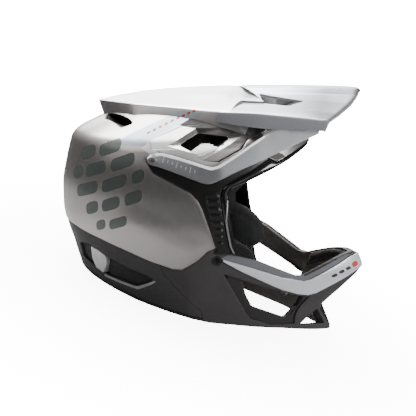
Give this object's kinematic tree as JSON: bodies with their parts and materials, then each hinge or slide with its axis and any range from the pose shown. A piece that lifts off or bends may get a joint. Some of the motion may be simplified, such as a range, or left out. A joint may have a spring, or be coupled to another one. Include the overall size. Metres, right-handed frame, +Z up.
{
  "type": "full-face bicycle helmet",
  "caption": "Full-face mountain bike helmet with a raised crown plate, tilting visor on angled arms, open chin bar, foam liner, pads and chin strap.",
  "frame": {"origin": "centre of the bounding box in plan, on the table the helmet stands on", "axes": "+X to the front of the helmet, +Y to the wearer's left, +Z up, with the helmet standing on its lower rims, nose tipped up"},
  "size_m": [0.349, 0.2248, 0.2762],
  "materials": {
    "grey_shell": "satin",
    "silver_shell": "satin",
    "black_plastic": "matt",
    "trim_rubber": "matt",
    "dark_shell": "matt",
    "strut_grey": "satin",
    "band_silver": "satin",
    "pad_fabric": "knitted",
    "visor_silver": "satin",
    "arm_grey": "satin",
    "bolt_steel": "black oxide",
    "foam_liner": "foam",
    "webbing": "woven",
    "lever_red": "satin"
  },
  "bodies": {
    "helmet": {"upper_shell": "grey_shell", "crown_plate": "silver_shell", "side_scoop_right": "silver_shell", "side_scoop_left": "silver_shell", "side_frame_right": "black_plastic", "side_frame_left": "black_plastic", "eyeport_trim": "trim_rubber", "lower_shell": "dark_shell", "neck_edging": "trim_rubber", "rear_strut_right": "strut_grey", "rear_strut_left": "strut_grey", "chin_guard": "dark_shell", "chin_band": "band_silver", "chin_pad": "pad_fabric", "pivot_bolt_right": "bolt_steel", "pivot_bolt_left": "bolt_steel", "liner_upper": "foam_liner", "liner_lower": "foam_liner", "crown_pad": "pad_fabric", "brow_pad": "pad_fabric", "nape_pad": "pad_fabric", "cheek_pad_right": "pad_fabric", "cheek_pad_left": "pad_fabric", "cheek_bolt_right": "bolt_steel", "cheek_bolt_left": "bolt_steel", "strap_right": "webbing", "strap_left": "webbing", "visor_bridge": "black_plastic", "buckle_housing": "black_plastic", "buckle_blade": "bolt_steel"},
    "visor_unit": {"visor": "visor_silver", "visor_arm_right": "arm_grey", "visor_arm_left": "arm_grey"},
    "lever": {"buckle_lever": "lever_red"}
  },
  "joints": [
    {"name": "visor_tilt", "type": "hinge", "parent": "helmet", "child": "visor_unit", "pos_m": [-0.07088, 0, 0.15609], "axis": [0, -1, 0], "range_deg": [0, 12]},
    {"name": "buckle_lever_turn", "type": "hinge", "parent": "helmet", "child": "lever", "pos_m": [0.0376, -0.013, 0.02153], "axis": [-0.9563, 0, -0.2924], "range_deg": [0, 25], "stiffness_Nm_per_rad": 0.02, "springref_deg": -11.46}
  ]
}
